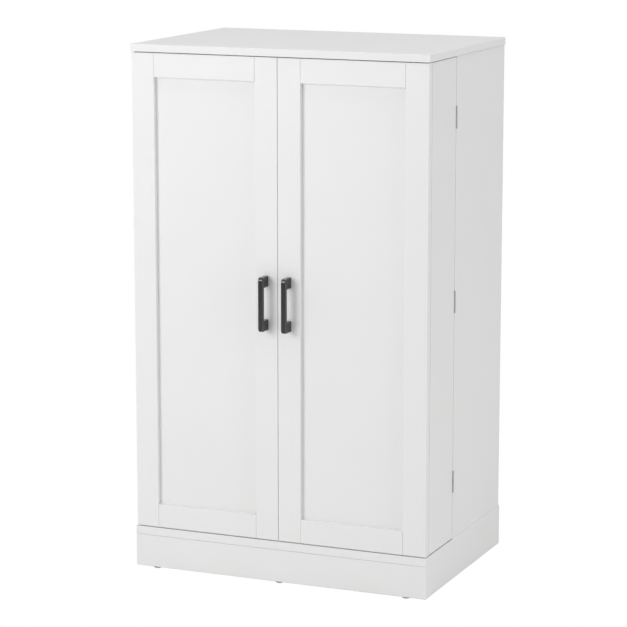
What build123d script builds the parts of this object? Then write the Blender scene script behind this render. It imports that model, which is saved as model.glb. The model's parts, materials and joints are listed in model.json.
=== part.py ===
"""A freestanding pantry cabinet with two deep box doors, in millimetres.

+Z is up, the doors face -Y and +X is to the right of someone facing them. The origin is on the floor, under
the middle of the whole cabinet with its handles. Left and right are as seen from the front.
"""
from build123d import *
import os

# --- Driving sizes ---
BODY_WIDTH = 632  # top slab and base
BODY_DEPTH = 440
BOARD = 15  # every board of the carcass and of the door boxes
PLINTH_HEIGHT = 66
STRIP_HEIGHT = 16.6  # front strip of the deck, which laps a little over the plinth
GLIDE_HEIGHT = 3
GLIDE_RADIUS = 7.5
GLIDE_INSET = 44  # from the side of the base to the middle of a glide
OVERHANG = 2  # slab and base stand this far proud of the doors and sides
EASE = 0.6  # small bevel on board edges
SHADOW_LINE = 0.4  # narrow slot left in front between the deck and the plinth
JOINT_LINE = 0.25  # the same, where a door's rails meet its stiles
WALL_LINE = 1.6  # the same, between a door's front frame and the walls behind it
SLAB_LINE = 0.8  # the same, under the slab's overhang at the fixed sides
LINE_DEPTH = 1.5

DOOR_HEIGHT = 966
DOOR_GAP = 1.6  # above and below the doors
MEETING_GAP = 0.9  # between the doors
DOOR_REACH = 154  # from the front of the base to the seam between doors and carcass
SEAM_GAP = 2.4
FRAME_THICK = 16  # front frame of a door
FRAME_WIDTH = 48  # stiles and rails
PANEL_THICK = 4
PANEL_RECESS = 9.5
TONGUE = 8  # how far the panel and the rails' tenons enter the stiles
GROOVE_SPARE = 0.5  # room left at the bottom of a groove
SHELF_LIP = 10  # thickness of the rail along a door shelf
SHELF_LIP_HEIGHT = 50
DOOR_SHELVES = ("lower", "middle", "upper")

BACK_THICK = 3
BACK_INSET = 10
GROOVE = 6
SHELF_SETBACK = 8  # carcass shelves, behind the front edges of the sides
SHELF_PLAY = 1
RAIL_HEIGHT = 80  # rail under the slab, at the back
WALL_HOLE_RADIUS = 3
WALL_HOLE_X = 200

HANDLE_LENGTH = 108
HANDLE_WIDTH = 9
HANDLE_REACH = 30
HANDLE_POST = 21  # height of each end post
HANDLE_BEVEL = 3.8  # across the front corners of the bar
HANDLE_CENTRES = 96
HANDLE_SCREW_RADIUS = 2
HANDLE_SCREW_BITE = 12
HANDLE_HEAD_RADIUS = 4
HANDLE_HEAD_HEIGHT = 2.5

HINGE_LENGTH = 43
HINGE_SPREAD = 365.5  # from the middle hinge to the outer ones
HINGE_REACH = 13  # of a leaf across a board's edge
LEAF = 1.0
KNUCKLES = 5
KNUCKLE_RADIUS = 1.9
KNUCKLE_GAP = 0.3
KNUCKLE_ROOM = 0.3  # hollowed out of the boards round the knuckles
PIN_RADIUS = 1
PIN_HEAD_RADIUS = 1.6
PIN_HEAD_HEIGHT = 0.7
PIN_CLEARANCE = 0.05
AXIS_OFFSET = 0.5  # hinge axis, outside the door and side faces
LEAF_SCREW_SPREAD = 13

SCREW_RADIUS = 1.5
SCREW_HEAD_RADIUS = 2.6
SCREW_HEAD_HEIGHT = 1.1
SCREW_LENGTH = 12
FIT = 0.04  # room round a screw, bolt or dowel in its hole

CATCH_X = 40
CATCH_SIZE = (20, 20, 14)
CATCH_EAR = (40, 14, 3)
MAGNET_SIZE = (14, 15, 9)
CATCH_SCREW_SPREAD = 15
STRIKE_SIZE = (36, 1, 12)
STRIKE_SCREW_SPREAD = 13
CATCH_GAP = 0.4  # between a magnet and its strike plate

PIN_HOLES = 7
PIN_PITCH = 32
SHELF_PIN_RADIUS = 2.5
SHELF_PIN_DEPTH = 8
SHELF_PIN_OUT = 9
SHELF_PIN_COLLAR_RADIUS = 3.6
PIN_COLUMN_INSET = 40

CAM_RADIUS = 7.5
CAM_DEPTH = 12.4
CAM_DISTANCE = 30  # from the joint to the middle of the cam
BOLT_BITE = 10
BOLT_RADIUS = 2.5
BOLT_THREAD_RADIUS = 2.9
BOLT_HEAD_RADIUS = 3.2
BOLT_HEAD_LENGTH = 5
DOWEL_RADIUS = 4
DOWEL_SHORT = 10
DOWEL_LONG = 20
BLOCK = 22  # corner blocks of the base
BLOCK_HEIGHT = 45

# --- Positions that follow ---
HALF = BODY_WIDTH / 2
FACE = HALF - OVERHANG  # outer faces of the doors and of the carcass sides
INNER = FACE - BOARD  # inner faces of the outer boards
FRONT = HANDLE_REACH - OVERHANG - (BODY_DEPTH + HANDLE_REACH - OVERHANG) / 2
BACK = FRONT + BODY_DEPTH
DOOR_FRONT = FRONT + OVERHANG
FRAME_BACK = DOOR_FRONT + FRAME_THICK
SEAM = FRONT + DOOR_REACH
DOOR_REAR = SEAM - SEAM_GAP / 2
SIDE_FRONT = SEAM + SEAM_GAP / 2
LIP_FRONT = DOOR_REAR - SHELF_LIP
BACK_FRONT = BACK - BACK_INSET - BACK_THICK  # front face of the back panel
PANEL_FRONT = DOOR_FRONT + PANEL_RECESS
STRIP_UNDER = GLIDE_HEIGHT + PLINTH_HEIGHT
DECK = STRIP_UNDER + STRIP_HEIGHT
DECK_UNDER = DECK - BOARD
DOOR_BOTTOM = DECK + DOOR_GAP
DOOR_TOP = DOOR_BOTTOM + DOOR_HEIGHT
SLAB_UNDER = DOOR_TOP + DOOR_GAP
TOP = SLAB_UNDER + BOARD
MIDDLE = (DOOR_BOTTOM + DOOR_TOP) / 2
MEETING = MEETING_GAP / 2  # inner edge of a door
AXIS_X = FACE + AXIS_OFFSET
HINGE_HEIGHTS = [MIDDLE + step * HINGE_SPREAD for step in (-1, 0, 1)]
SIDE_MIDDLE = FACE - BOARD / 2  # middle of an outer board's thickness
SIDES = {"left": -1, "right": 1}
PIN_COLUMNS = (SIDE_FRONT + PIN_COLUMN_INSET, BACK_FRONT - PIN_COLUMN_INSET)
UPPER_PINS = (MIDDLE + BOARD / 2 + SLAB_UNDER) / 2
LOWER_PINS = (MIDDLE - BOARD / 2 + DECK) / 2
JOINT_COLUMNS = (SIDE_FRONT + 75, BACK_FRONT - 75)
DOWEL_COLUMNS = (SIDE_FRONT + 107, BACK_FRONT - 107)

# A cam joint is the point where two boards meet on the bolt's line, the way into the board that holds the
# cam, and the way to the face from which the cam is let in. A dowel is its joint and the way of its long end.
PANEL_JOINTS = {
    side: [((s * SIDE_MIDDLE, y, SLAB_UNDER), (0, 0, -1), (-s, 0, 0)) for y in JOINT_COLUMNS]
    + [((s * SIDE_MIDDLE, y, DECK), (0, 0, 1), (-s, 0, 0)) for y in JOINT_COLUMNS]
    for side, s in SIDES.items()
}
SHELF_JOINTS = {
    side: [((s * INNER, y, MIDDLE), (-s, 0, 0), (0, 0, -1)) for y in JOINT_COLUMNS]
    for side, s in SIDES.items()
}
PANEL_DOWELS = {
    side: [((s * SIDE_MIDDLE, y, SLAB_UNDER), (0, 0, -1)) for y in DOWEL_COLUMNS]
    + [((s * SIDE_MIDDLE, y, DECK), (0, 0, 1)) for y in DOWEL_COLUMNS]
    for side, s in SIDES.items()
}
SHELF_DOWELS = {
    side: [((s * INNER, y, MIDDLE), (-s, 0, 0)) for y in DOWEL_COLUMNS]
    for side, s in SIDES.items()
}
LEAF_SCREWS = [z + step * LEAF_SCREW_SPREAD for z in HINGE_HEIGHTS for step in (-1, 1)]


# --- Shapes that the sub-parts share ---
def add_board(x_span, y_span, z_span, mode=Mode.ADD):
    """A rectangular board that fills three spans, in the part being built."""
    (x0, x1), (y0, y1), (z0, z1) = sorted(x_span), sorted(y_span), sorted(z_span)
    with BuildSketch(Plane.XY.offset(z0)) as outline:
        with Locations(((x0 + x1) / 2, (y0 + y1) / 2)):
            Rectangle(x1 - x0, y1 - y0)
    extrude(outline.sketch, amount=z1 - z0, mode=mode)


def add_rod(start, direction, radius, length, mode=Mode.ADD):
    """A round rod that starts at a point and runs along a direction."""
    with Locations(Plane(origin=start, z_dir=direction)):
        Cylinder(radius, length, align=(Align.CENTER, Align.CENTER, Align.MIN), mode=mode)


def along(point, direction, distance):
    """The point that lies a distance along a direction."""
    return tuple(p + d * distance for p, d in zip(point, direction))


def reverse(direction):
    return tuple(-d for d in direction)


def add_cross(point, direction, width, depth, arm=0.7):
    """A cross-shaped driver recess, cut into a head whose face lies at a point."""
    with Locations(Plane(origin=point, z_dir=direction)):
        for length, breadth in ((width, arm), (arm, width)):
            Box(
                length,
                breadth,
                depth,
                align=(Align.CENTER, Align.CENTER, Align.MIN),
                mode=Mode.SUBTRACT,
            )


def add_screw(point, direction):
    """A countersunk wood screw, its head's face at a point and its shank along a direction."""
    with Locations(Plane(origin=point, z_dir=direction)):
        Cone(
            SCREW_HEAD_RADIUS,
            SCREW_RADIUS,
            SCREW_HEAD_HEIGHT,
            align=(Align.CENTER, Align.CENTER, Align.MIN),
        )
        Cylinder(SCREW_RADIUS, SCREW_LENGTH, align=(Align.CENTER, Align.CENTER, Align.MIN))
    add_cross(point, direction, 2.6, 0.6)


def cut_screw(point, direction):
    """The hole of a countersunk screw, as deep as the screw and a little wider."""
    with Locations(Plane(origin=point, z_dir=direction)):
        Cone(
            SCREW_HEAD_RADIUS + FIT,
            SCREW_RADIUS + FIT,
            SCREW_HEAD_HEIGHT + FIT,
            align=(Align.CENTER, Align.CENTER, Align.MIN),
            mode=Mode.SUBTRACT,
        )
        Cylinder(
            SCREW_RADIUS + FIT,
            SCREW_LENGTH,
            align=(Align.CENTER, Align.CENTER, Align.MIN),
            mode=Mode.SUBTRACT,
        )


def add_bolt(joint):
    """A cam bolt: thread in one board, shank and head in the cam's board."""
    point, inward, _ = joint
    reach = CAM_DISTANCE + BOLT_HEAD_LENGTH / 2
    add_rod(point, reverse(inward), BOLT_THREAD_RADIUS, BOLT_BITE)
    add_rod(point, inward, BOLT_RADIUS, reach)
    add_rod(along(point, inward, reach), reverse(inward), BOLT_HEAD_RADIUS, BOLT_HEAD_LENGTH)


def add_cam(joint):
    """A round cam lock with a driver cross, open towards its bolt."""
    point, inward, cap = joint
    middle = along(point, inward, CAM_DISTANCE)
    face = along(middle, cap, BOARD / 2)
    add_rod(face, reverse(cap), CAM_RADIUS, CAM_DEPTH)
    add_rod(point, inward, BOLT_HEAD_RADIUS + FIT, CAM_DISTANCE + BOLT_HEAD_LENGTH / 2, Mode.SUBTRACT)
    add_cross(face, reverse(cap), 8, 1.5, arm=1.6)


def cut_cam(joint):
    """The cam's pocket and the bolt's hole, in the board that holds the cam."""
    point, inward, cap = joint
    middle = along(point, inward, CAM_DISTANCE)
    add_rod(along(middle, cap, BOARD / 2), reverse(cap), CAM_RADIUS, CAM_DEPTH, Mode.SUBTRACT)
    add_rod(point, inward, BOLT_HEAD_RADIUS + FIT, CAM_DISTANCE, Mode.SUBTRACT)


def cut_bolt(joint):
    """The hole of the bolt's thread, in the other board."""
    point, inward, _ = joint
    add_rod(point, reverse(inward), BOLT_THREAD_RADIUS + FIT, BOLT_BITE, Mode.SUBTRACT)


def cut_dowel_long(dowel):
    point, inward = dowel
    add_rod(point, inward, DOWEL_RADIUS + FIT, DOWEL_LONG, Mode.SUBTRACT)


def cut_dowel_short(dowel):
    point, inward = dowel
    add_rod(point, reverse(inward), DOWEL_RADIUS + FIT, DOWEL_SHORT, Mode.SUBTRACT)


def cut_knuckle_room(s):
    """Room for the hinge knuckles, in the outer corner of a door wall or of a carcass side."""
    length = HINGE_LENGTH + 2 * (PIN_HEAD_HEIGHT + KNUCKLE_ROOM)
    for z in HINGE_HEIGHTS:
        add_rod(
            (s * AXIS_X, SEAM, z - length / 2),
            (0, 0, 1),
            KNUCKLE_RADIUS + KNUCKLE_ROOM,
            length,
            Mode.SUBTRACT,
        )


def cut_wall_line(face_x, way):
    """The shadow line between the front frame and a wall of the door, from the wall's face inwards."""
    add_board(
        (face_x, face_x + way * LINE_DEPTH),
        (FRAME_BACK, FRAME_BACK + WALL_LINE),
        (DOOR_BOTTOM, DOOR_TOP),
        Mode.SUBTRACT,
    )


def save(part, name):
    """Labels a finished sub-part and writes it to its own file."""
    part.part.label = name
    export_step(part.part, f"parts/{name}.step")


os.makedirs("parts", exist_ok=True)

# --- Base ---
for side, s in SIDES.items():
    with BuildPart() as base_board:
        add_board((s * (HALF - BOARD), s * HALF), (FRONT + BOARD, BACK), (GLIDE_HEIGHT, DECK))
        chamfer(base_board.edges().filter_by(Axis.Y), EASE)
        for joint in PANEL_JOINTS[side][2:]:
            cut_bolt(joint)
        for dowel in PANEL_DOWELS[side][2:]:
            cut_dowel_short(dowel)
    save(base_board, f"{side}_base_board")

with BuildPart() as front_plinth:
    add_board((-HALF, HALF), (FRONT, FRONT + BOARD), (GLIDE_HEIGHT, STRIP_UNDER))
    chamfer(front_plinth.faces().sort_by(Axis.Y)[0].edges(), EASE)
    add_board(
        (-HALF, HALF),
        (FRONT, FRONT + LINE_DEPTH),
        (STRIP_UNDER - SHADOW_LINE, STRIP_UNDER),
        Mode.SUBTRACT,
    )
save(front_plinth, "front_plinth")

with BuildPart() as back_plinth:
    add_board((BOARD - HALF, HALF - BOARD), (BACK - BOARD, BACK), (GLIDE_HEIGHT, DECK_UNDER))
save(back_plinth, "back_plinth")

with BuildPart() as base_brace:
    add_board((-BOARD / 2, BOARD / 2), (FRONT + BOARD, BACK - BOARD), (GLIDE_HEIGHT, DECK_UNDER))
save(base_brace, "base_brace")

with BuildPart() as corner_blocks:
    for s in SIDES.values():
        for y, way in ((FRONT + BOARD, 1), (BACK - BOARD, -1)):
            add_board(
                (s * (HALF - BOARD), s * (HALF - BOARD - BLOCK)),
                (y, y + way * BLOCK),
                (DECK_UNDER - BLOCK_HEIGHT, DECK_UNDER),
            )
save(corner_blocks, "corner_blocks")

# The deck's front strip is as wide as the base and covers the ends of the side boards.
with BuildPart() as bottom_panel:
    add_board((-HALF, HALF), (FRONT, FRONT + BOARD), (STRIP_UNDER, DECK))
    add_board((BOARD - HALF, HALF - BOARD), (FRONT + BOARD, BACK), (DECK_UNDER, DECK))
    chamfer(bottom_panel.faces().sort_by(Axis.Y)[0].edges(), EASE)
save(bottom_panel, "bottom_panel")

with BuildPart() as glides:
    for x in (GLIDE_INSET - HALF, 0, HALF - GLIDE_INSET):
        for y in (FRONT + BOARD / 2, BACK - BOARD / 2):
            add_rod((x, y, 0), (0, 0, 1), GLIDE_RADIUS, GLIDE_HEIGHT)
    chamfer(glides.edges().group_by(Axis.Z)[0], 1.2)
save(glides, "glides")

# --- Carcass ---
for side, s in SIDES.items():
    with BuildPart() as side_panel:
        add_board((s * INNER, s * FACE), (SIDE_FRONT, BACK), (DECK, SLAB_UNDER))
        chamfer(side_panel.edges().filter_by(Axis.Z), EASE)
        add_board(
            (s * INNER, s * (INNER + GROOVE)),
            (BACK_FRONT, BACK_FRONT + BACK_THICK),
            (DECK, SLAB_UNDER),
            Mode.SUBTRACT,
        )
        add_board(
            (s * FACE, s * (FACE - LINE_DEPTH)),
            (SIDE_FRONT, BACK),
            (SLAB_UNDER - SLAB_LINE, SLAB_UNDER),
            Mode.SUBTRACT,
        )
        for middle in (LOWER_PINS, UPPER_PINS):
            for y in PIN_COLUMNS:
                for step in range(PIN_HOLES):
                    z = middle + (step - PIN_HOLES // 2) * PIN_PITCH
                    add_rod(
                        (s * INNER, y, z),
                        (s, 0, 0),
                        SHELF_PIN_RADIUS + FIT,
                        SHELF_PIN_DEPTH,
                        Mode.SUBTRACT,
                    )
        for joint in PANEL_JOINTS[side]:
            cut_cam(joint)
        for joint in SHELF_JOINTS[side]:
            cut_bolt(joint)
        for dowel in PANEL_DOWELS[side]:
            cut_dowel_long(dowel)
        for dowel in SHELF_DOWELS[side]:
            cut_dowel_short(dowel)
        cut_knuckle_room(s)
        for z in LEAF_SCREWS:
            cut_screw((s * SIDE_MIDDLE, SIDE_FRONT - LEAF, z), (0, 1, 0))
    save(side_panel, f"{side}_side_panel")

with BuildPart() as top_slab:
    add_board((-HALF, HALF), (FRONT, BACK), (SLAB_UNDER, TOP))
    chamfer(top_slab.edges(), EASE)
    add_board(
        (-INNER - GROOVE, INNER + GROOVE),
        (BACK_FRONT, BACK_FRONT + BACK_THICK),
        (SLAB_UNDER, SLAB_UNDER + GROOVE),
        Mode.SUBTRACT,
    )
    for side, s in SIDES.items():
        for joint in PANEL_JOINTS[side][:2]:
            cut_bolt(joint)
        for dowel in PANEL_DOWELS[side][:2]:
            cut_dowel_short(dowel)
        for step in (-1, 1):
            x = s * CATCH_X + step * CATCH_SCREW_SPREAD
            y = SEAM + CATCH_SIZE[1] / 2
            cut_screw((x, y, SLAB_UNDER - CATCH_EAR[2]), (0, 0, 1))
save(top_slab, "top_slab")

with BuildPart() as back_panel:
    add_board(
        (-INNER - GROOVE, INNER + GROOVE),
        (BACK_FRONT, BACK_FRONT + BACK_THICK),
        (DECK, SLAB_UNDER + GROOVE),
    )
    for x in (-WALL_HOLE_X, WALL_HOLE_X):
        with Locations(Plane((x, BACK_FRONT, SLAB_UNDER - RAIL_HEIGHT / 2), z_dir=(0, -1, 0))):
            Hole(WALL_HOLE_RADIUS)
save(back_panel, "back_panel")

with BuildPart() as top_back_rail:
    add_board((-INNER, INNER), (BACK_FRONT - BOARD, BACK_FRONT), (SLAB_UNDER - RAIL_HEIGHT, SLAB_UNDER))
    chamfer(top_back_rail.edges().filter_by(Axis.X).group_by(Axis.Z)[0], EASE)
    for x in (-WALL_HOLE_X, WALL_HOLE_X):
        with Locations(Plane((x, BACK_FRONT, SLAB_UNDER - RAIL_HEIGHT / 2), z_dir=(0, -1, 0))):
            Hole(WALL_HOLE_RADIUS)
save(top_back_rail, "top_back_rail")

# --- Carcass shelves ---
SHELF_FRONT = SIDE_FRONT + SHELF_SETBACK

with BuildPart() as fixed_shelf:
    add_board((-INNER, INNER), (SHELF_FRONT, BACK_FRONT), (MIDDLE - BOARD / 2, MIDDLE + BOARD / 2))
    chamfer(fixed_shelf.faces().sort_by(Axis.Y)[0].edges().filter_by(Axis.X), EASE)
    for side in SIDES:
        for joint in SHELF_JOINTS[side]:
            cut_cam(joint)
        for dowel in SHELF_DOWELS[side]:
            cut_dowel_long(dowel)
save(fixed_shelf, "fixed_shelf")

for name, pin_height in (("lower_shelf", LOWER_PINS), ("upper_shelf", UPPER_PINS)):
    with BuildPart() as loose_shelf:
        under = pin_height + SHELF_PIN_RADIUS
        add_board(
            (SHELF_PLAY - INNER, INNER - SHELF_PLAY),
            (SHELF_FRONT, BACK_FRONT - SHELF_PLAY),
            (under, under + BOARD),
        )
        chamfer(loose_shelf.faces().sort_by(Axis.Y)[0].edges().filter_by(Axis.X), EASE)
    save(loose_shelf, name)

with BuildPart() as shelf_pins:
    for s in SIDES.values():
        for z in (LOWER_PINS, UPPER_PINS):
            for y in PIN_COLUMNS:
                start = (s * (INNER + SHELF_PIN_DEPTH), y, z)
                add_rod(start, (-s, 0, 0), SHELF_PIN_RADIUS, SHELF_PIN_DEPTH + SHELF_PIN_OUT)
                with Locations(Plane((s * INNER, y, z), z_dir=(-s, 0, 0))):
                    Cylinder(
                        SHELF_PIN_COLLAR_RADIUS,
                        SHELF_PLAY / 2,
                        align=(Align.CENTER, Align.CENTER, Align.MIN),
                    )
save(shelf_pins, "shelf_pins")

# --- Fastenings of the carcass ---
ALL_JOINTS = [joint for side in SIDES for joint in PANEL_JOINTS[side] + SHELF_JOINTS[side]]
ALL_DOWELS = [dowel for side in SIDES for dowel in PANEL_DOWELS[side] + SHELF_DOWELS[side]]

with BuildPart() as cam_locks:
    for joint in ALL_JOINTS:
        add_cam(joint)
save(cam_locks, "cam_locks")

with BuildPart() as cam_bolts:
    for joint in ALL_JOINTS:
        add_bolt(joint)
save(cam_bolts, "cam_bolts")

with BuildPart() as dowels:
    for point, inward in ALL_DOWELS:
        add_rod(along(point, inward, -DOWEL_SHORT), inward, DOWEL_RADIUS, DOWEL_SHORT + DOWEL_LONG)
save(dowels, "dowels")

# --- Magnetic catches, under the slab and just behind the doors ---
MAGNET_FRONT = DOOR_REAR + STRIKE_SIZE[1] + CATCH_GAP
MAGNET_Z = (DOOR_TOP - BOARD / 2 - MAGNET_SIZE[2] / 2, DOOR_TOP - BOARD / 2 + MAGNET_SIZE[2] / 2)

with BuildPart() as catch_housings:
    for s in SIDES.values():
        x = s * CATCH_X
        y = SEAM + CATCH_SIZE[1] / 2
        add_board(
            (x - CATCH_SIZE[0] / 2, x + CATCH_SIZE[0] / 2),
            (MAGNET_FRONT + 0.6, MAGNET_FRONT + CATCH_SIZE[1]),
            (SLAB_UNDER - CATCH_SIZE[2] - DOOR_GAP, SLAB_UNDER),
        )
        add_board(
            (x - CATCH_EAR[0] / 2, x + CATCH_EAR[0] / 2),
            (y - CATCH_EAR[1] / 2, y + CATCH_EAR[1] / 2),
            (SLAB_UNDER - CATCH_EAR[2], SLAB_UNDER),
        )
        add_board(
            (x - MAGNET_SIZE[0] / 2, x + MAGNET_SIZE[0] / 2),
            (MAGNET_FRONT, MAGNET_FRONT + MAGNET_SIZE[1]),
            MAGNET_Z,
            Mode.SUBTRACT,
        )
        for step in (-1, 1):
            cut_screw((x + step * CATCH_SCREW_SPREAD, y, SLAB_UNDER - CATCH_EAR[2]), (0, 0, 1))
save(catch_housings, "catch_housings")

with BuildPart() as catch_magnets:
    for s in SIDES.values():
        add_board(
            (s * CATCH_X - MAGNET_SIZE[0] / 2, s * CATCH_X + MAGNET_SIZE[0] / 2),
            (MAGNET_FRONT, MAGNET_FRONT + MAGNET_SIZE[1]),
            MAGNET_Z,
        )
save(catch_magnets, "catch_magnets")


# --- Hinges ---
def add_leaf(s, z_middle, plate_y, own_knuckles):
    """One hinge leaf: a plate across a board's edge, and the knuckles that belong to it."""
    low = z_middle - HINGE_LENGTH / 2
    plate_edge = AXIS_X - KNUCKLE_RADIUS - KNUCKLE_GAP  # the plate stops short of the other leaf's knuckles
    add_board((s * (FACE - HINGE_REACH), s * plate_edge), plate_y, (low, low + HINGE_LENGTH))
    pitch = HINGE_LENGTH / KNUCKLES
    for index in own_knuckles:
        z_low = low + index * pitch + (KNUCKLE_GAP / 2 if index else 0)
        z_high = low + (index + 1) * pitch - (KNUCKLE_GAP / 2 if index < KNUCKLES - 1 else 0)
        add_board((s * plate_edge, s * AXIS_X), plate_y, (z_low, z_high))
        add_rod((s * AXIS_X, SEAM, z_low), (0, 0, 1), KNUCKLE_RADIUS, z_high - z_low)
    add_rod(
        (s * AXIS_X, SEAM, low),
        (0, 0, 1),
        PIN_RADIUS + PIN_CLEARANCE,
        HINGE_LENGTH,
        Mode.SUBTRACT,
    )
    for step in (-1, 1):
        y = plate_y[0]
        way = (0, 1, 0) if plate_y[1] > plate_y[0] else (0, -1, 0)
        cut_screw((s * SIDE_MIDDLE, y, z_middle + step * LEAF_SCREW_SPREAD), way)


FRAME_LEAF_Y = (SIDE_FRONT - LEAF, SIDE_FRONT)
DOOR_LEAF_Y = (DOOR_REAR + LEAF, DOOR_REAR)

with BuildPart() as hinge_frame_leaves:
    for s in SIDES.values():
        for z in HINGE_HEIGHTS:
            add_leaf(s, z, FRAME_LEAF_Y, (0, 2, 4))
save(hinge_frame_leaves, "hinge_frame_leaves")

with BuildPart() as hinge_pins:
    for s in SIDES.values():
        for z in HINGE_HEIGHTS:
            low = (s * AXIS_X, SEAM, z - HINGE_LENGTH / 2)
            high = (s * AXIS_X, SEAM, z + HINGE_LENGTH / 2)
            add_rod(low, (0, 0, 1), PIN_RADIUS, HINGE_LENGTH)
            add_rod(low, (0, 0, -1), PIN_HEAD_RADIUS, PIN_HEAD_HEIGHT)
            add_rod(high, (0, 0, 1), PIN_HEAD_RADIUS, PIN_HEAD_HEIGHT)
save(hinge_pins, "hinge_pins")

with BuildPart() as carcass_screws:
    for s in SIDES.values():
        for z in LEAF_SCREWS:
            add_screw((s * SIDE_MIDDLE, FRAME_LEAF_Y[0], z), (0, 1, 0))
        for step in (-1, 1):
            x = s * CATCH_X + step * CATCH_SCREW_SPREAD
            add_screw((x, SEAM + CATCH_SIZE[1] / 2, SLAB_UNDER - CATCH_EAR[2]), (0, 0, 1))
save(carcass_screws, "carcass_screws")

# --- Doors: a shaker front frame on a box that is open towards the carcass ---
STILE_EDGE = MEETING + FRAME_WIDTH  # inner edge of the stile by the middle of the cabinet
OUTER_STILE_EDGE = FACE - FRAME_WIDTH
PANEL_Y = (PANEL_FRONT, PANEL_FRONT + PANEL_THICK)
BAY = (DOOR_HEIGHT - (len(DOOR_SHELVES) + 2) * BOARD) / (len(DOOR_SHELVES) + 1)
HANDLE_X = MEETING + FRAME_WIDTH / 2
HANDLE_SCREW_HEIGHTS = [MIDDLE + step * HANDLE_CENTRES / 2 for step in (-1, 1)]
STRIKE_Z = DOOR_TOP - BOARD / 2


def door_stile(s, outer_x, inner_x, handle_holes):
    """A full-height stile with a groove for the panel in its inner edge."""
    way = 1 if inner_x > outer_x else -1
    with BuildPart() as stile:
        add_board((s * outer_x, s * inner_x), (DOOR_FRONT, FRAME_BACK), (DOOR_BOTTOM, DOOR_TOP))
        chamfer(stile.faces().sort_by(Axis.Y)[0].edges(), EASE)
        add_board(
            (s * inner_x, s * (inner_x - way * (TONGUE + GROOVE_SPARE))),
            PANEL_Y,
            (DOOR_BOTTOM, DOOR_TOP),
            Mode.SUBTRACT,
        )
        if handle_holes:
            for z in HANDLE_SCREW_HEIGHTS:
                with Locations(Plane((s * HANDLE_X, FRAME_BACK, z), z_dir=(0, 1, 0))):
                    Hole(HANDLE_SCREW_RADIUS + FIT)
    return stile


def door_rail(s, z_outer, z_inner):
    """A rail with a stub tenon and a shadow line at each end, and a groove for the panel."""
    way = 1 if z_inner > z_outer else -1
    with BuildPart() as rail:
        add_board((s * STILE_EDGE, s * OUTER_STILE_EDGE), (DOOR_FRONT, FRAME_BACK), (z_outer, z_inner))
        chamfer(rail.faces().sort_by(Axis.Y)[0].edges(), EASE)
        for x0, x1 in (
            (STILE_EDGE, STILE_EDGE + JOINT_LINE),
            (OUTER_STILE_EDGE - JOINT_LINE, OUTER_STILE_EDGE),
        ):
            add_board(
                (s * x0, s * x1),
                (DOOR_FRONT, DOOR_FRONT + LINE_DEPTH),
                (z_outer, z_inner),
                Mode.SUBTRACT,
            )
        add_board((s * (STILE_EDGE - TONGUE), s * (OUTER_STILE_EDGE + TONGUE)), PANEL_Y, (z_outer, z_inner))
        add_board(
            (s * (STILE_EDGE - TONGUE), s * (OUTER_STILE_EDGE + TONGUE)),
            PANEL_Y,
            (z_inner, z_inner - way * (TONGUE + GROOVE_SPARE)),
            Mode.SUBTRACT,
        )
    return rail


def door_handle(s):
    """A square bar pull with bevelled corners and a flat post at each end."""
    low = MIDDLE - HANDLE_LENGTH / 2
    high = MIDDLE + HANDLE_LENGTH / 2
    bar_front = DOOR_FRONT - HANDLE_REACH
    bar_back = bar_front + HANDLE_WIDTH
    with BuildPart() as handle:
        with BuildSketch(Plane.YZ.offset(s * HANDLE_X - HANDLE_WIDTH / 2)) as profile:
            with BuildLine():
                Polyline(
                    (DOOR_FRONT, low),
                    (bar_front, low),
                    (bar_front, high),
                    (DOOR_FRONT, high),
                    (DOOR_FRONT, high - HANDLE_POST),
                    (bar_back, high - HANDLE_POST),
                    (bar_back, low + HANDLE_POST),
                    (DOOR_FRONT, low + HANDLE_POST),
                    close=True,
                )
            make_face()
            inner_corners = profile.vertices().filter_by(lambda v: abs(v.Y - bar_back) < 0.01)
            fillet(inner_corners, 1.5)
            chamfer(profile.vertices().filter_by(lambda v: abs(v.Y - bar_front) < 0.01), HANDLE_BEVEL)
        extrude(amount=HANDLE_WIDTH)
        outer = handle.edges().filter_by(lambda e: e.center().Y < DOOR_FRONT - 0.01)
        chamfer(outer, 0.5)
        for z in HANDLE_SCREW_HEIGHTS:
            add_rod(
                (s * HANDLE_X, DOOR_FRONT, z),
                (0, -1, 0),
                HANDLE_SCREW_RADIUS + FIT,
                HANDLE_SCREW_BITE,
                Mode.SUBTRACT,
            )
    return handle


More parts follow.
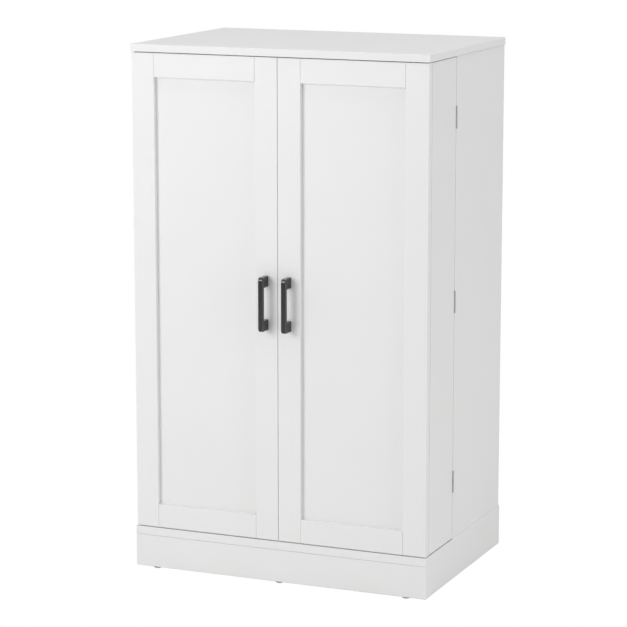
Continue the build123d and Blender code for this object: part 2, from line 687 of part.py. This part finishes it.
for side, s in SIDES.items():
    save(door_stile(s, FACE, OUTER_STILE_EDGE, False), f"{side}_door_outer_stile")
    save(door_stile(s, MEETING, STILE_EDGE, True), f"{side}_door_inner_stile")
    save(door_rail(s, DOOR_TOP, DOOR_TOP - FRAME_WIDTH), f"{side}_door_top_rail")
    save(door_rail(s, DOOR_BOTTOM, DOOR_BOTTOM + FRAME_WIDTH), f"{side}_door_bottom_rail")
    save(door_handle(s), f"{side}_door_handle")

    with BuildPart() as centre_panel:
        add_board(
            (s * (STILE_EDGE - TONGUE), s * (OUTER_STILE_EDGE + TONGUE)),
            PANEL_Y,
            (DOOR_BOTTOM + FRAME_WIDTH - TONGUE, DOOR_TOP - FRAME_WIDTH + TONGUE),
        )
    save(centre_panel, f"{side}_door_centre_panel")

    with BuildPart() as outer_wall:
        add_board((s * INNER, s * FACE), (FRAME_BACK, DOOR_REAR), (DOOR_BOTTOM, DOOR_TOP))
        chamfer(outer_wall.edges(), EASE)
        cut_wall_line(s * FACE, -s)
        cut_knuckle_room(s)
        for z in LEAF_SCREWS:
            cut_screw((s * SIDE_MIDDLE, DOOR_REAR + LEAF, z), (0, -1, 0))
    save(outer_wall, f"{side}_door_outer_wall")

    box_x = (s * (MEETING + BOARD), s * INNER)
    with BuildPart() as inner_wall:
        add_board((s * MEETING, s * (MEETING + BOARD)), (FRAME_BACK, DOOR_REAR), (DOOR_BOTTOM, DOOR_TOP))
        chamfer(inner_wall.edges(), EASE)
        cut_wall_line(s * MEETING, s)
    save(inner_wall, f"{side}_door_inner_wall")

    with BuildPart() as box_top:
        add_board(box_x, (FRAME_BACK, DOOR_REAR), (DOOR_TOP - BOARD, DOOR_TOP))
        for step in (-1, 1):
            x = s * CATCH_X + step * STRIKE_SCREW_SPREAD
            cut_screw((x, DOOR_REAR + STRIKE_SIZE[1], STRIKE_Z), (0, -1, 0))
    save(box_top, f"{side}_door_box_top")

    with BuildPart() as strike_plate:
        add_board(
            (s * CATCH_X - STRIKE_SIZE[0] / 2, s * CATCH_X + STRIKE_SIZE[0] / 2),
            (DOOR_REAR, DOOR_REAR + STRIKE_SIZE[1]),
            (STRIKE_Z - STRIKE_SIZE[2] / 2, STRIKE_Z + STRIKE_SIZE[2] / 2),
        )
        for step in (-1, 1):
            x = s * CATCH_X + step * STRIKE_SCREW_SPREAD
            cut_screw((x, DOOR_REAR + STRIKE_SIZE[1], STRIKE_Z), (0, -1, 0))
    save(strike_plate, f"{side}_door_strike_plate")

    floors = [DOOR_BOTTOM + index * (BAY + BOARD) for index in range(len(DOOR_SHELVES) + 1)]
    for name, z in zip(("box_bottom",) + tuple(f"{level}_shelf" for level in DOOR_SHELVES), floors):
        with BuildPart() as door_shelf:
            add_board(box_x, (FRAME_BACK, LIP_FRONT), (z, z + BOARD))
        save(door_shelf, f"{side}_door_{name}")

    with BuildPart() as shelf_lips:
        for z in floors:
            add_board(box_x, (LIP_FRONT, DOOR_REAR), (z, z + SHELF_LIP_HEIGHT))
        chamfer(shelf_lips.edges().filter_by(Axis.X), EASE)
    save(shelf_lips, f"{side}_door_shelf_lips")

    with BuildPart() as door_leaves:
        for z in HINGE_HEIGHTS:
            add_leaf(s, z, DOOR_LEAF_Y, (1, 3))
    save(door_leaves, f"{side}_door_hinge_leaves")

    with BuildPart() as door_screws:
        for z in LEAF_SCREWS:
            add_screw((s * SIDE_MIDDLE, DOOR_LEAF_Y[0], z), (0, -1, 0))
        for step in (-1, 1):
            x = s * CATCH_X + step * STRIKE_SCREW_SPREAD
            add_screw((x, DOOR_REAR + STRIKE_SIZE[1], STRIKE_Z), (0, -1, 0))
        for z in HANDLE_SCREW_HEIGHTS:
            head = (s * HANDLE_X, FRAME_BACK, z)
            add_rod(head, (0, -1, 0), HANDLE_SCREW_RADIUS, FRAME_THICK + HANDLE_SCREW_BITE)
            add_rod(head, (0, 1, 0), HANDLE_HEAD_RADIUS, HANDLE_HEAD_HEIGHT)
            add_cross(along(head, (0, 1, 0), HANDLE_HEAD_HEIGHT), (0, -1, 0), 4, 1.2, arm=1)
    save(door_screws, f"{side}_door_screws")
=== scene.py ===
"""Looks of the pantry cabinet: camera, studio, and the materials of every board and fitting. Metres."""
import json
import math

import bmesh
import bpy
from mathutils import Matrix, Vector


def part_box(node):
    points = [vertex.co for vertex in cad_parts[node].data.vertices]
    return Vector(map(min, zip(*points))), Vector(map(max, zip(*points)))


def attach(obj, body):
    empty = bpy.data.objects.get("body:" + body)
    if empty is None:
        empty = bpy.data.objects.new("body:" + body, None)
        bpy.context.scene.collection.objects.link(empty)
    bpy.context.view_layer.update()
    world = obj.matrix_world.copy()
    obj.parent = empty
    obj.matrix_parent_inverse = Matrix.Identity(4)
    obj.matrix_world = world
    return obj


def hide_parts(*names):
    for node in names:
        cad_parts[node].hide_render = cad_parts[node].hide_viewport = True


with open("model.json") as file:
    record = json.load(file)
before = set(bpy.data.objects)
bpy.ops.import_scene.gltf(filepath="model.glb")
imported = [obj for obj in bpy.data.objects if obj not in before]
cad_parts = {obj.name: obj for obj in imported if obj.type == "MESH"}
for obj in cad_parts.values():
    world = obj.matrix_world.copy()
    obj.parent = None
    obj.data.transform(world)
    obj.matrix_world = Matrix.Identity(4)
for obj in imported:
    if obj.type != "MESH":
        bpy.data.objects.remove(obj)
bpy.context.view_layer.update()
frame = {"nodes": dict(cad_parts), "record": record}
scene = bpy.context.scene
MM = 0.001

# --- Camera: to the right of the doors, a little above, through a long lens ---
VIEW_AZIMUTH = 22.93
VIEW_ELEVATION = 10.79
VIEW_DISTANCE = 5.297
VIEW_TARGET = Vector((-0.0107, 0.002, 0.5133))
LENS = 148.84

# --- Studio: name, azimuth, elevation, distance, width, height, power in watts ---
# An azimuth of 0 faces the doors, and grows towards the right-hand side.
LIGHTS = (
    ("key", -24.0, 17.0, 3.2, 1.4, 1.4, 37.6),
    ("side", 84.0, 8.0, 4.0, 2.6, 2.6, 45.7),
    ("top", 0.0, 88.0, 3.6, 3.0, 3.0, 54.7),
)
LIGHT_TARGET = Vector((0.0, 0.0, 0.55))
AMBIENT = 0.487  # strength of the even light from all round
FLOOR_SIZE = 14.0
FLOOR_WHITE = (0.8, 0.8, 0.8, 1.0)
FULL_WHITE = (1.0, 1.0, 1.0, 1.0)


def toward(azimuth, elevation):
    """The unit vector from the cabinet towards a place around it, from two angles in degrees."""
    turn = math.radians(azimuth)
    rise = math.radians(elevation)
    return Vector(
        (math.sin(turn) * math.cos(rise), -math.cos(turn) * math.cos(rise), math.sin(rise))
    )


def aim(thing, azimuth, elevation):
    """Turns a camera or lamp that stands at these angles back towards the cabinet."""
    thing.rotation_euler = (math.radians(90 - elevation), 0, math.radians(azimuth))


def make_camera():
    data = bpy.data.cameras.new("view_camera")
    data.lens = LENS
    data.sensor_width = 36.0
    data.clip_end = 200.0
    camera = bpy.data.objects.new("view_camera", data)
    scene.collection.objects.link(camera)
    camera.location = VIEW_TARGET + toward(VIEW_AZIMUTH, VIEW_ELEVATION) * VIEW_DISTANCE
    aim(camera, VIEW_AZIMUTH, VIEW_ELEVATION)
    scene.camera = camera


# --- Node helpers ---
class Nodes:
    """A small builder for one node tree."""

    def __init__(self, tree):
        self.tree = tree

    def add(self, kind, inputs=None, **settings):
        node = self.tree.nodes.new(kind)
        for name, value in settings.items():
            setattr(node, name, value)
        for name, value in (inputs or {}).items():
            self.set(node.inputs[name], value)
        return node

    def set(self, socket, value):
        """Links a socket to another one, or gives it a plain value."""
        if isinstance(value, bpy.types.NodeSocket):
            self.tree.links.new(value, socket)
        else:
            socket.default_value = value

    def math(self, operation, *values):
        node = self.add("ShaderNodeMath", operation=operation)
        for socket, value in zip(node.inputs, values):
            self.set(socket, value)
        return node.outputs[0]

    def place(self):
        """Where a point of the surface is on its own object, at rest."""
        return self.add("ShaderNodeTexCoord").outputs["Object"]

    def facing(self):
        return self.add("ShaderNodeTexCoord").outputs["Normal"]

    def split(self, vector):
        return self.add("ShaderNodeSeparateXYZ", {"Vector": vector}).outputs

    def stretch(self, vector, scale):
        return self.add("ShaderNodeMapping", {"Vector": vector, "Scale": scale}).outputs[0]

    def noise(self, vector, scale, detail=2.0, roughness=0.5, distortion=0.0):
        node = self.add(
            "ShaderNodeTexNoise",
            {
                "Vector": vector,
                "Scale": scale,
                "Detail": detail,
                "Roughness": roughness,
                "Distortion": distortion,
            },
        )
        return node.outputs["Fac"]

    def cells(self, vector, scale, output="Distance"):
        return self.add("ShaderNodeTexVoronoi", {"Vector": vector, "Scale": scale}).outputs[output]

    def span(self, value, low_in, high_in, low_out, high_out):
        """Maps one range of values onto another, and stops at its ends."""
        node = self.add(
            "ShaderNodeMapRange",
            {
                "Value": value,
                "From Min": low_in,
                "From Max": high_in,
                "To Min": low_out,
                "To Max": high_out,
            },
        )
        return node.outputs[0]

    def blend(self, factor, first, second, kind="MIX"):
        node = self.add("ShaderNodeMix", data_type="RGBA", blend_type=kind)
        self.set(node.inputs[0], factor)
        for socket, value in ((node.inputs[6], first), (node.inputs[7], second)):
            self.set(socket, value if isinstance(value, bpy.types.NodeSocket) else (*value, 1.0))
        return node.outputs[2]

    def ramp(self, factor, stops):
        node = self.add("ShaderNodeValToRGB", {"Fac": factor})
        elements = node.color_ramp.elements
        while len(elements) < len(stops):
            elements.new(0.5)
        for element, (position, colour) in zip(elements, stops):
            element.position = position
            element.color = (*colour, 1.0)
        return node.outputs["Color"]

    def bump(self, height, strength, distance, under=None):
        """A relief of the given depth, on top of another one when there is one."""
        inputs = {"Height": height, "Strength": strength, "Distance": distance}
        node = self.add("ShaderNodeBump", inputs)
        if under is not None:
            self.set(node.inputs["Normal"], under)
        return node.outputs["Normal"]

    def backdrop(self, cast, output):
        """Plain white for the camera, and another shader for the light that the cabinet gets."""
        is_sky = cast.bl_idname == "ShaderNodeBackground"
        kind = "ShaderNodeBackground" if is_sky else "ShaderNodeEmission"
        shown = self.add(kind, {"Color": FULL_WHITE, "Strength": 1.0})
        path = self.add("ShaderNodeLightPath")
        mix = self.add("ShaderNodeMixShader", {"Fac": path.outputs["Is Camera Ray"]})
        self.set(mix.inputs[1], cast.outputs[0])
        self.set(mix.inputs[2], shown.outputs[0])
        self.set(output.inputs["Surface"], mix.outputs[0])


def surface(name, colour, roughness, normal=None, **plain):
    """A Principled material: three functions that make its links, then plain values by socket name."""
    material = bpy.data.materials.new(name)
    material.use_nodes = True
    nodes = Nodes(material.node_tree)
    shader = material.node_tree.nodes["Principled BSDF"]
    for socket, make in (("Base Color", colour), ("Roughness", roughness), ("Normal", normal)):
        if make is not None:
            nodes.set(shader.inputs[socket], make(nodes))
    for socket, value in plain.items():
        shader.inputs[socket.replace("_", " ")].default_value = value
    return material


# --- Board ---
WHITE = (0.8, 0.8, 0.797)
CHIP_SCALE = 520.0
CHIP_STOPS = (
    (0.0, (0.20, 0.125, 0.06)),
    (0.35, (0.43, 0.30, 0.165)),
    (0.65, (0.56, 0.42, 0.25)),
    (1.0, (0.72, 0.58, 0.39)),
)
BACK_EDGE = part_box("top_slab")[1][1] - 0.5 * MM
FOOT_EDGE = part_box("left_base_board")[0][2] + 0.5 * MM


def whiteness(nodes, scale=5.0, depth=0.02):
    """White that drifts a little over the board, with a fainter finer mottle on top."""
    place = nodes.place()
    drift = nodes.noise(place, scale, detail=3.0)
    mottle = nodes.noise(place, 240.0, detail=2.0)
    both = nodes.math("MULTIPLY_ADD", mottle, 0.25, drift)
    shade = nodes.span(both, 0.35, 0.95, 1.0 - depth, 1.0)
    return nodes.blend(shade, (0.0, 0.0, 0.0), WHITE)


def chipboard(nodes):
    """Bare particle board: long pale flakes in all directions, with darker gaps."""
    place = nodes.place()
    warp = nodes.noise(place, 160.0, detail=2.0)
    flakes = nodes.cells(nodes.stretch(place, (1.0, 1.0, 1.7)), CHIP_SCALE, "Color")
    flat = nodes.math("MULTIPLY", nodes.split(flakes)[0], 0.7)
    tone = nodes.math("MULTIPLY_ADD", warp, 0.45, flat)
    return nodes.ramp(tone, CHIP_STOPS)


def bare_edges(nodes):
    """1 on the unfaced edges at the back of the carcass and under the base, else 0."""
    _, y, z = nodes.split(nodes.place())
    _, face_y, face_z = nodes.split(nodes.facing())
    at_back = nodes.math("GREATER_THAN", y, BACK_EDGE)
    at_foot = nodes.math("LESS_THAN", z, FOOT_EDGE)
    back = nodes.math("MULTIPLY", at_back, nodes.math("GREATER_THAN", face_y, 0.5))
    foot = nodes.math("MULTIPLY", at_foot, nodes.math("LESS_THAN", face_z, -0.5))
    return nodes.math("MAXIMUM", back, foot)


def board_bump(nodes, with_edges):
    """The faint grain of a melamine face, with pits in the bare edges when the board has any."""
    place = nodes.place()
    grain = nodes.noise(place, 900.0, detail=2.0)
    fine = nodes.bump(grain, 0.06, 0.1 * MM)
    if not with_edges:
        return fine
    pits = nodes.math("MULTIPLY", nodes.cells(place, CHIP_SCALE), bare_edges(nodes))
    return nodes.bump(pits, 0.6, 0.5 * MM, fine)


def carcass_colour(nodes):
    return nodes.blend(bare_edges(nodes), whiteness(nodes), chipboard(nodes))


def carcass_roughness(nodes):
    worn = nodes.span(nodes.noise(nodes.place(), 14.0, detail=4.0), 0.3, 0.7, 0.42, 0.5)
    return nodes.math("MAXIMUM", worn, nodes.math("MULTIPLY", bare_edges(nodes), 0.9))


def lacquer_roughness(nodes):
    return nodes.span(nodes.noise(nodes.place(), 9.0, detail=4.0), 0.3, 0.7, 0.36, 0.44)


def lacquer_bump(nodes):
    """Sprayed lacquer: a soft orange peel a few millimetres across."""
    peel = nodes.noise(nodes.place(), 420.0, detail=1.0)
    return nodes.bump(peel, 0.05, 0.1 * MM)


# --- Hardboard: white paint in front; brown fibres and mesh marks at the back ---
MESH_TURNS = 5200.0  # radians per metre: one mark every 1.2 mm
FIBRE_STOPS = (
    (0.2, (0.17, 0.10, 0.05)),
    (0.5, (0.29, 0.185, 0.10)),
    (0.8, (0.43, 0.30, 0.18)),
)
def hardboard_back(nodes):
    return nodes.math("GREATER_THAN", nodes.split(nodes.facing())[1], 0.5)


def fibre(nodes):
    """Short matted fibres, a little longer across the panel than up it."""
    lying = nodes.stretch(nodes.place(), (1.0, 1.0, 2.4))
    return nodes.noise(lying, 700.0, detail=6.0, roughness=0.7, distortion=1.2)


def mesh_marks(nodes):
    """The square weave of the press screen."""
    x, _, z = nodes.split(nodes.place())
    across = nodes.math("SINE", nodes.math("MULTIPLY", x, MESH_TURNS))
    upward = nodes.math("SINE", nodes.math("MULTIPLY", z, MESH_TURNS))
    return nodes.math("MULTIPLY", across, upward)


def hardboard_colour(nodes):
    clouds = nodes.noise(nodes.place(), 26.0, detail=4.0)
    tone = nodes.math("MULTIPLY_ADD", clouds, 0.2, nodes.math("MULTIPLY", fibre(nodes), 0.8))
    return nodes.blend(hardboard_back(nodes), whiteness(nodes), nodes.ramp(tone, FIBRE_STOPS))


def hardboard_roughness(nodes):
    return nodes.math("MULTIPLY_ADD", hardboard_back(nodes), 0.32, 0.5)


def hardboard_bump(nodes):
    rough = nodes.math("MULTIPLY_ADD", mesh_marks(nodes), 0.35, fibre(nodes))
    depth = nodes.math("MULTIPLY_ADD", hardboard_back(nodes), 0.9, 0.1)
    return nodes.bump(nodes.math("MULTIPLY", rough, depth), 0.5, 0.25 * MM)


# --- Bare wood: grain along x ---
WOOD_STOPS = (
    (0.25, (0.42, 0.25, 0.11)),
    (0.55, (0.62, 0.43, 0.23)),
    (0.8, (0.74, 0.56, 0.34)),
)


def wood_grain(nodes):
    place = nodes.place()
    return nodes.noise(nodes.stretch(place, (0.08, 1.0, 1.0)), 900.0, detail=5.0, distortion=0.6)


def wood_colour(nodes):
    drawn = nodes.stretch(nodes.place(), (0.12, 1.0, 1.0))
    bands = nodes.noise(drawn, 150.0, detail=3.0, distortion=1.5)
    tone = nodes.math("MULTIPLY_ADD", wood_grain(nodes), 0.4, nodes.math("MULTIPLY", bands, 0.6))
    return nodes.ramp(tone, WOOD_STOPS)


def wood_bump(nodes):
    return nodes.bump(wood_grain(nodes), 0.4, 0.2 * MM)


# --- Metals ---
POWDER_DARK = (0.004, 0.004, 0.0041)
POWDER_LIGHT = (0.010, 0.010, 0.0102)
POWDER_GLOSS = 0.65  # specular level: glossier than the default of 0.5


def powder_colour(nodes):
    specks = nodes.noise(nodes.place(), 1800.0, detail=2.0)
    tone = nodes.span(specks, 0.35, 0.7, 0.0, 1.0)
    return nodes.blend(tone, POWDER_DARK, POWDER_LIGHT)


def powder_roughness(nodes):
    return nodes.span(nodes.noise(nodes.place(), 60.0, detail=3.0), 0.3, 0.7, 0.15, 0.2)


def powder_bump(nodes):
    return nodes.bump(nodes.noise(nodes.place(), 2400.0, detail=2.0), 0.06, 0.12 * MM)


def metal_colour(dark, light, scale, stretch):
    """Metal between two tones, streaked or mottled by the stretch given for its pattern."""

    def make(nodes):
        streaks = nodes.noise(nodes.stretch(nodes.place(), stretch), scale, detail=4.0)
        return nodes.blend(nodes.span(streaks, 0.3, 0.7, 0.0, 1.0), dark, light)

    return make


def metal_roughness(low_value, high_value, scale, stretch):
    def make(nodes):
        streaks = nodes.noise(nodes.stretch(nodes.place(), stretch), scale, detail=3.0)
        return nodes.span(streaks, 0.3, 0.7, low_value, high_value)

    return make


def metal_bump(scale, stretch, strength):
    def make(nodes):
        streaks = nodes.noise(nodes.stretch(nodes.place(), stretch), scale, detail=2.0)
        return nodes.bump(streaks, strength, 0.05 * MM)

    return make


# --- Plastics ---
def plastic_colour(dark, light):
    def make(nodes):
        return nodes.blend(nodes.noise(nodes.place(), 120.0, detail=4.0), dark, light)

    return make


def plastic_roughness(nodes):
    return nodes.span(nodes.noise(nodes.place(), 300.0, detail=3.0), 0.3, 0.7, 0.45, 0.6)


def plastic_bump(nodes):
    return nodes.bump(nodes.noise(nodes.place(), 1500.0, detail=2.0), 0.15, 0.08 * MM)


ALONG_Y = (1.0, 0.1, 1.0)
ALONG_Z = (1.0, 1.0, 0.06)
EVEN = (1.0, 1.0, 1.0)
MATERIALS = {
    "carcass_board": surface(
        "carcass_board", carcass_colour, carcass_roughness, lambda nodes: board_bump(nodes, True)
    ),
    "plain_board": surface(
        "plain_board", whiteness, lacquer_roughness, lambda nodes: board_bump(nodes, False)
    ),
    "door_lacquer": surface("door_lacquer", whiteness, lacquer_roughness, lacquer_bump),
    "hardboard": surface("hardboard", hardboard_colour, hardboard_roughness, hardboard_bump),
    "bare_wood": surface("bare_wood", wood_colour, lambda nodes: 0.7, wood_bump),
    "black_metal": surface(
        "black_metal",
        powder_colour,
        powder_roughness,
        powder_bump,
        Specular_IOR_Level=POWDER_GLOSS,
    ),
    "hinge_metal": surface(
        "hinge_metal",
        metal_colour((0.36, 0.355, 0.35), (0.5, 0.495, 0.485), 1200.0, ALONG_Z),
        metal_roughness(0.3, 0.42, 1500.0, ALONG_Z),
        metal_bump(1800.0, ALONG_Z, 0.15),
        Metallic=1.0,
    ),
    "zinc_plate": surface(
        "zinc_plate",
        metal_colour((0.55, 0.56, 0.58), (0.7, 0.7, 0.71), 500.0, EVEN),
        metal_roughness(0.24, 0.4, 300.0, EVEN),
        metal_bump(900.0, EVEN, 0.1),
        Metallic=1.0,
    ),
    "cast_zinc": surface(
        "cast_zinc",
        metal_colour((0.36, 0.36, 0.37), (0.56, 0.56, 0.57), 400.0, EVEN),
        metal_roughness(0.42, 0.62, 300.0, EVEN),
        metal_bump(800.0, EVEN, 0.4),
        Metallic=1.0,
    ),
    "magnet": surface(
        "magnet",
        metal_colour((0.035, 0.035, 0.038), (0.09, 0.09, 0.095), 900.0, ALONG_Y),
        metal_roughness(0.4, 0.6, 500.0, EVEN),
        metal_bump(1200.0, ALONG_Y, 0.3),
    ),
    "grey_plastic": surface(
        "grey_plastic",
        plastic_colour((0.36, 0.36, 0.362), (0.43, 0.43, 0.432)),
        plastic_roughness,
        plastic_bump,
    ),
    "white_plastic": surface(
        "white_plastic",
        plastic_colour((0.70, 0.70, 0.69), (0.78, 0.78, 0.77)),
        plastic_roughness,
        plastic_bump,
    ),
}

SLOTS = {row["node"]: row["material_slot"] for row in frame["record"]["subparts"]}
DOOR_FRONT_PARTS = ("_stile", "_rail", "_centre_panel")
PLAIN_BOARDS = ("back_plinth", "fixed_shelf", "lower_shelf", "upper_shelf", "top_back_rail")


def finish_of(node):
    """The name of the material that a CAD node gets."""
    slot = SLOTS[node]
    if slot != "white_board":
        return slot
    if "_door_" in node:
        return "door_lacquer" if node.endswith(DOOR_FRONT_PARTS) else "plain_board"
    return "plain_board" if node in PLAIN_BOARDS else "carcass_board"


def dress_nodes():
    """Gives every CAD node its material."""
    for node, thing in frame["nodes"].items():
        material = MATERIALS[finish_of(node)]
        if not thing.material_slots:
            thing.data.materials.append(material)
        for slot in thing.material_slots:
            slot.material = material


# --- Handles: the CAD bar with rounded edges and a soft slope at each end ---
HANDLE_BAR = 9 * MM
HANDLE_POST = 21 * MM
HANDLE_BEVEL = 3.8 * MM
HANDLE_ROUND = 0.6 * MM
HANDLE_FILLET = 1.5 * MM
HANDLE_FILLET_STEPS = 4
HANDLE_ROUND_STEPS = 4
HANDLE_SOFT = (0.8 * MM, 3.0 * MM)  # depth and height of the slope between each bevel and the front
ROUNDED_EDGE = math.radians(30)  # edges that fold by more than this are rounded
CREASE = math.radians(14)  # smooth shading stops here
SEAT_DEPTH = 0.1 * MM  # edges this close to the door stay sharp
SHORT_EDGE = 1 * MM


def handle_outline(front, back, foot, head):
    """The side view of a handle: (y, z) corners from the lower post's foot round the bar."""
    behind = front + HANDLE_BAR
    soft_depth, soft_height = HANDLE_SOFT
    slope = HANDLE_BEVEL - soft_depth
    outline = [(back, foot), (front + HANDLE_BEVEL, foot), (front + soft_depth, foot + slope)]
    outline += [(front, foot + slope + soft_height), (front, head - slope - soft_height)]
    outline += [(front + soft_depth, head - slope), (front + HANDLE_BEVEL, head), (back, head)]
    outline += [(back, head - HANDLE_POST)]
    steps = range(HANDLE_FILLET_STEPS + 1)
    for z, way, turns in ((head - HANDLE_POST, -1, steps), (foot + HANDLE_POST, 1, reversed(steps))):
        for turn in turns:
            angle = math.radians(90 * turn / HANDLE_FILLET_STEPS)
            y = behind + HANDLE_FILLET * (1 - math.sin(angle))
            outline.append((y, z + way * HANDLE_FILLET * (1 - math.cos(angle))))
    outline += [(back, foot + HANDLE_POST)]
    return outline


def needs_rounding(edge, seat):
    """True for a sharp edge, unless it lies along the handle's seat on the door."""
    depths = [vert.co.y for vert in edge.verts]
    clear = max(depths) < seat - SEAT_DEPTH
    crossing = max(depths) - min(depths) > SHORT_EDGE
    return edge.calc_face_angle(0) > ROUNDED_EDGE and (clear or crossing)


def make_handle(side):
    """One handle in place of its CAD node: the side view drawn out over the bar's width."""
    box_low, box_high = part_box(f"{side}_door_handle")
    outline = handle_outline(box_low[1], box_high[1], box_low[2], box_high[2])
    mesh = bpy.data.meshes.new(f"{side}_handle_bar")
    build = bmesh.new()
    corners = [build.verts.new((box_low[0], y, z)) for y, z in outline]
    face = build.faces.new(corners)
    grown = bmesh.ops.extrude_face_region(build, geom=[face])
    moved = [item for item in grown["geom"] if isinstance(item, bmesh.types.BMVert)]
    bmesh.ops.translate(build, verts=moved, vec=(box_high[0] - box_low[0], 0, 0))
    bmesh.ops.recalc_face_normals(build, faces=build.faces)
    sharp = [edge for edge in build.edges if needs_rounding(edge, box_high[1])]
    bmesh.ops.bevel(
        build,
        geom=sharp,
        offset=HANDLE_ROUND,
        segments=HANDLE_ROUND_STEPS,
        profile=0.5,
        affect="EDGES",
    )
    build.to_mesh(mesh)
    build.free()
    for polygon in mesh.polygons:
        polygon.use_smooth = True
    mesh.set_sharp_from_angle(angle=CREASE)
    piece = bpy.data.objects.new(f"{side}_handle_bar", mesh)
    scene.collection.objects.link(piece)
    even = piece.modifiers.new("even_normals", "WEIGHTED_NORMAL")
    even.keep_sharp = True
    mesh.materials.append(MATERIALS["black_metal"])
    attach(piece, f"{side}_door")
    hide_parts(f"{side}_door_handle")


# --- Studio ---
def make_light(name, azimuth, elevation, distance, width, height, power):
    data = bpy.data.lights.new(name, "AREA")
    data.shape = "RECTANGLE"
    data.size = width
    data.size_y = height
    data.energy = power
    lamp = bpy.data.objects.new(name, data)
    scene.collection.objects.link(lamp)
    lamp.location = LIGHT_TARGET + toward(azimuth, elevation) * distance
    aim(lamp, azimuth, elevation)


def make_world():
    """White behind the cabinet, and a dimmer even light on it."""
    world = bpy.data.worlds.new("studio")
    scene.world = world
    world.use_nodes = True
    tree = world.node_tree
    lit = tree.nodes["Background"]
    lit.inputs["Color"].default_value = FULL_WHITE
    lit.inputs["Strength"].default_value = AMBIENT
    Nodes(tree).backdrop(lit, tree.nodes["World Output"])


def make_floor():
    """A white studio floor: plain white for the camera, and a diffuse white surface for the light that
    the cabinet gets.
    """
    mesh = bpy.data.meshes.new("studio_floor")
    half = FLOOR_SIZE / 2
    corners = [(-half, -half, 0), (half, -half, 0), (half, half, 0), (-half, half, 0)]
    mesh.from_pydata(corners, [], [(0, 1, 2, 3)])
    floor = bpy.data.objects.new("studio_floor", mesh)
    scene.collection.objects.link(floor)
    material = bpy.data.materials.new("studio_floor")
    material.use_nodes = True
    tree = material.node_tree
    shader = tree.nodes["Principled BSDF"]
    shader.inputs["Base Color"].default_value = FLOOR_WHITE
    shader.inputs["Roughness"].default_value = 0.9
    Nodes(tree).backdrop(shader, tree.nodes["Material Output"])
    mesh.materials.append(material)


make_camera()
dress_nodes()
for door_side in ("left", "right"):
    make_handle(door_side)
for light in LIGHTS:
    make_light(*light)
make_world()
make_floor()
scene.view_settings.view_transform = "Standard"
